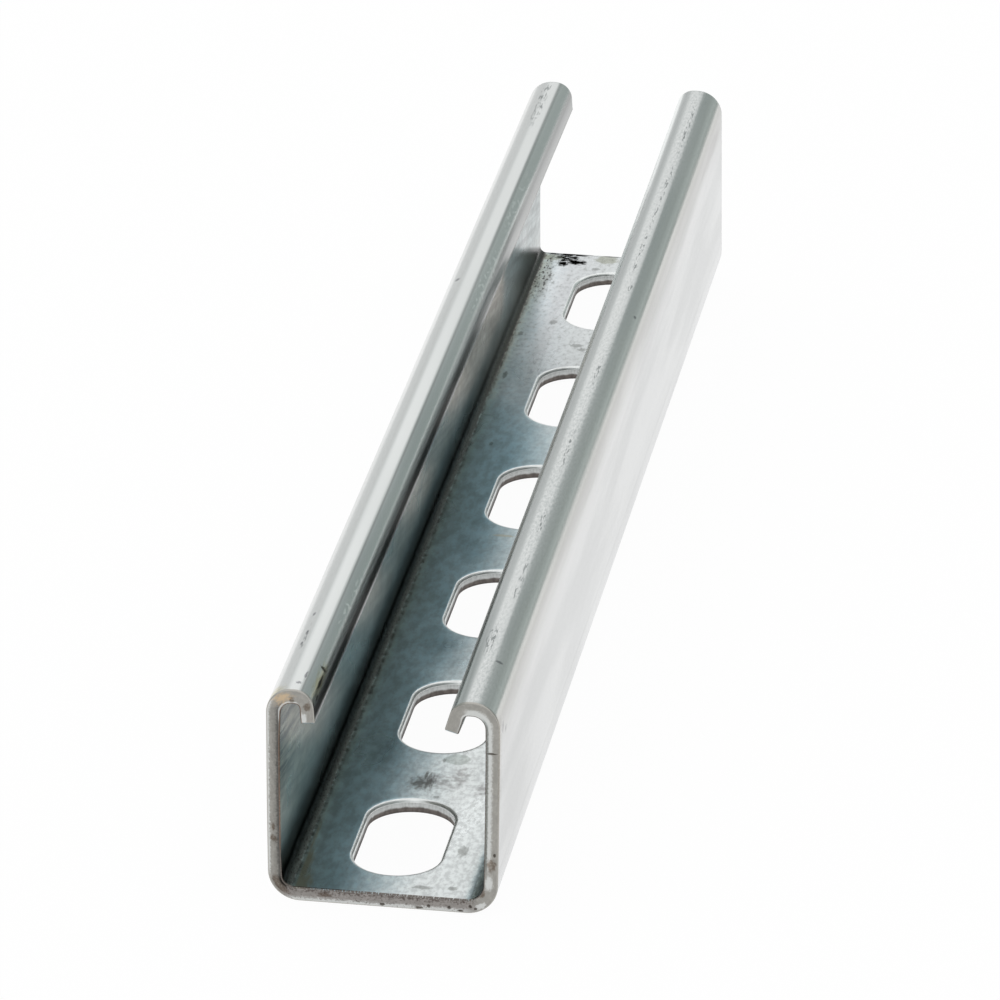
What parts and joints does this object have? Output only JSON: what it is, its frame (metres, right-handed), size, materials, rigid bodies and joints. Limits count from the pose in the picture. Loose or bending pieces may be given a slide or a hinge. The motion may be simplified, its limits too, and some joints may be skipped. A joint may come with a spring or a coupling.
{
  "type": "strut channel",
  "caption": "Open-topped steel strut channel with inturned lips and a row of long slots in its web, for framing, hangers and brackets.",
  "frame": {"origin": "middle of the web's underside, half way between the cut ends", "axes": "+Y along the channel, +Z from the web up through the open mouth, +X across the channel"},
  "size_m": [0.0412, 0.3016, 0.0413],
  "materials": {
    "zinc_coated_steel": "bright zinc coating on cold-rolled strip, faint spangle and rolling marks, bare steel at the cut ends and in the slots"
  },
  "bodies": {
    "root": {"strut_channel": "zinc_coated_steel"}
  },
  "joints": []
}
